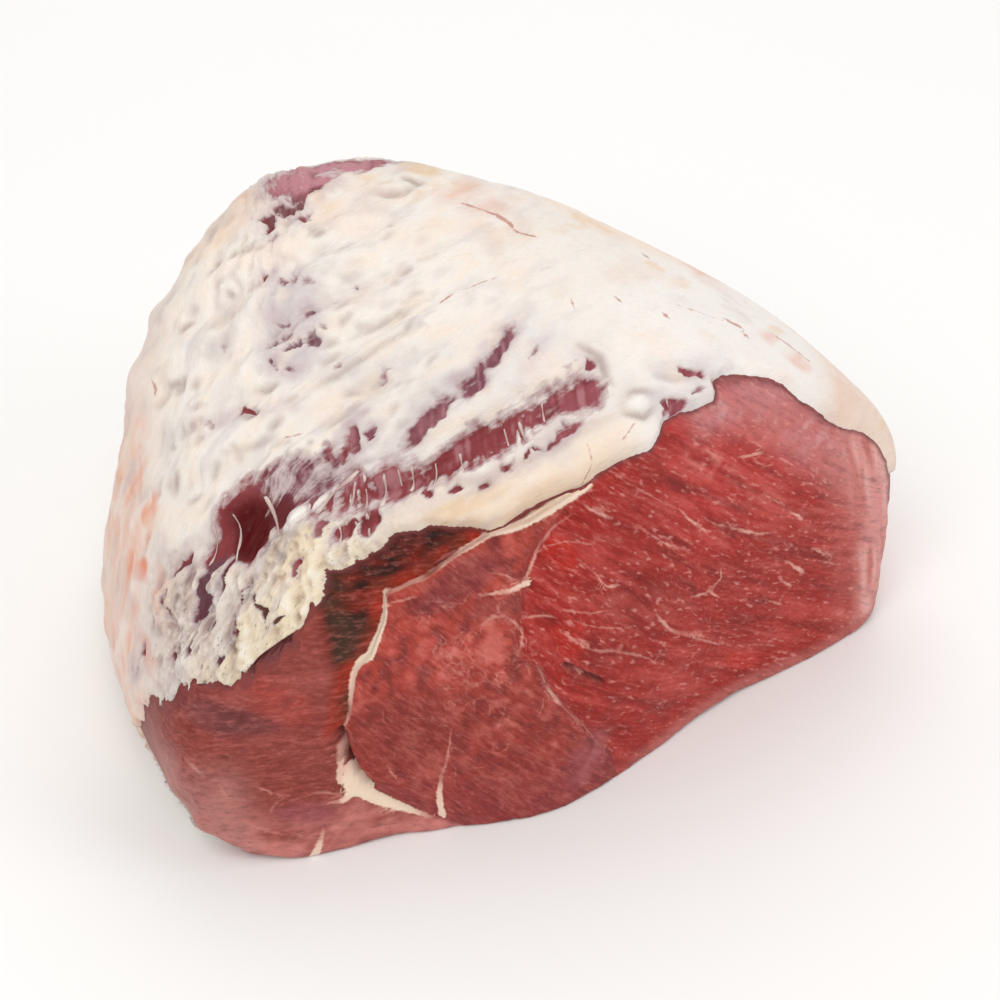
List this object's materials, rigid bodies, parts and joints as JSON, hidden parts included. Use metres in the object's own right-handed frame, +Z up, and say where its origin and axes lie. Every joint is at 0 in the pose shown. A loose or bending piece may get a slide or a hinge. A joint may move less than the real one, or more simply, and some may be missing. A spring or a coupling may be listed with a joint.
{
  "type": "beef topside",
  "caption": "Whole raw beef topside: a rounded block with a fresh cut face across three muscles, under a cap of fat and silver skin.",
  "frame": {"origin": "on the flat underside, straight below the heart of the meat", "axes": "+Z up from the underside, -Y out of the fresh cut face, +X along that face to the right as it is looked at"},
  "size_m": [0.3061, 0.2603, 0.1545],
  "materials": {
    "lean": "raw lean beef, freshly cut and moist",
    "fat": "cream beef fat and silver skin, soft and slightly moist"
  },
  "bodies": {
    "root": {"topside": "lean"}
  },
  "joints": []
}
